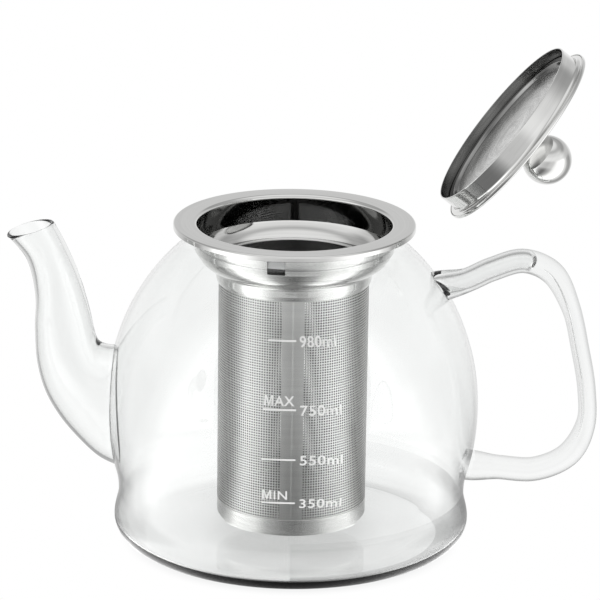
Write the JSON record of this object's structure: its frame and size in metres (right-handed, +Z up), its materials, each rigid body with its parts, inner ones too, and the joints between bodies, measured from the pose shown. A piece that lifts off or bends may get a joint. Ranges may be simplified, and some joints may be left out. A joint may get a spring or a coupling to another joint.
{
  "type": "glass teapot",
  "caption": "Clear glass teapot with a curved spout, a looped handle, a lift-out perforated steel infuser and a loose steel lid with a ball knob.",
  "frame": {"origin": "centre of the flat underside of the glass body, on the pot's upright axis, on the surface that the pot stands on", "axes": "+X towards the handle, -X towards the spout, -Y towards the side with the volume marks, +Z up"},
  "size_m": [0.2048, 0.129, 0.1756],
  "materials": {
    "clear_glass": "clear polished borosilicate glass",
    "polished_steel": "polished stainless steel with a fine satin on the flats",
    "satin_steel": "circular brushed stainless steel",
    "perforated_steel": "etched and perforated stainless steel sheet",
    "white_print": "white fired print of the volume marks on the glass"
  },
  "bodies": {
    "pot": {"glass_body": "clear_glass", "glass_spout": "clear_glass", "glass_handle": "clear_glass"},
    "infuser": {"infuser_collar": "polished_steel", "basket_sleeve": "perforated_steel", "basket_cap": "satin_steel"},
    "lid": {"lid_cover": "polished_steel", "lid_skirt": "polished_steel", "lid_liner": "satin_steel", "knob_ball": "polished_steel", "knob_stem": "polished_steel", "knob_screw": "satin_steel"}
  },
  "joints": [
    {"name": "infuser_lift", "type": "slide", "parent": "pot", "child": "infuser", "axis": [0, 0, 1], "range_m": [0, 0.125]},
    {"name": "lid_swing", "type": "hinge", "parent": "infuser", "child": "lid", "pos_m": [0.0452, 0, 0.1121], "axis": [0, 1, 0], "range_deg": [-128.5, 0]}
  ]
}
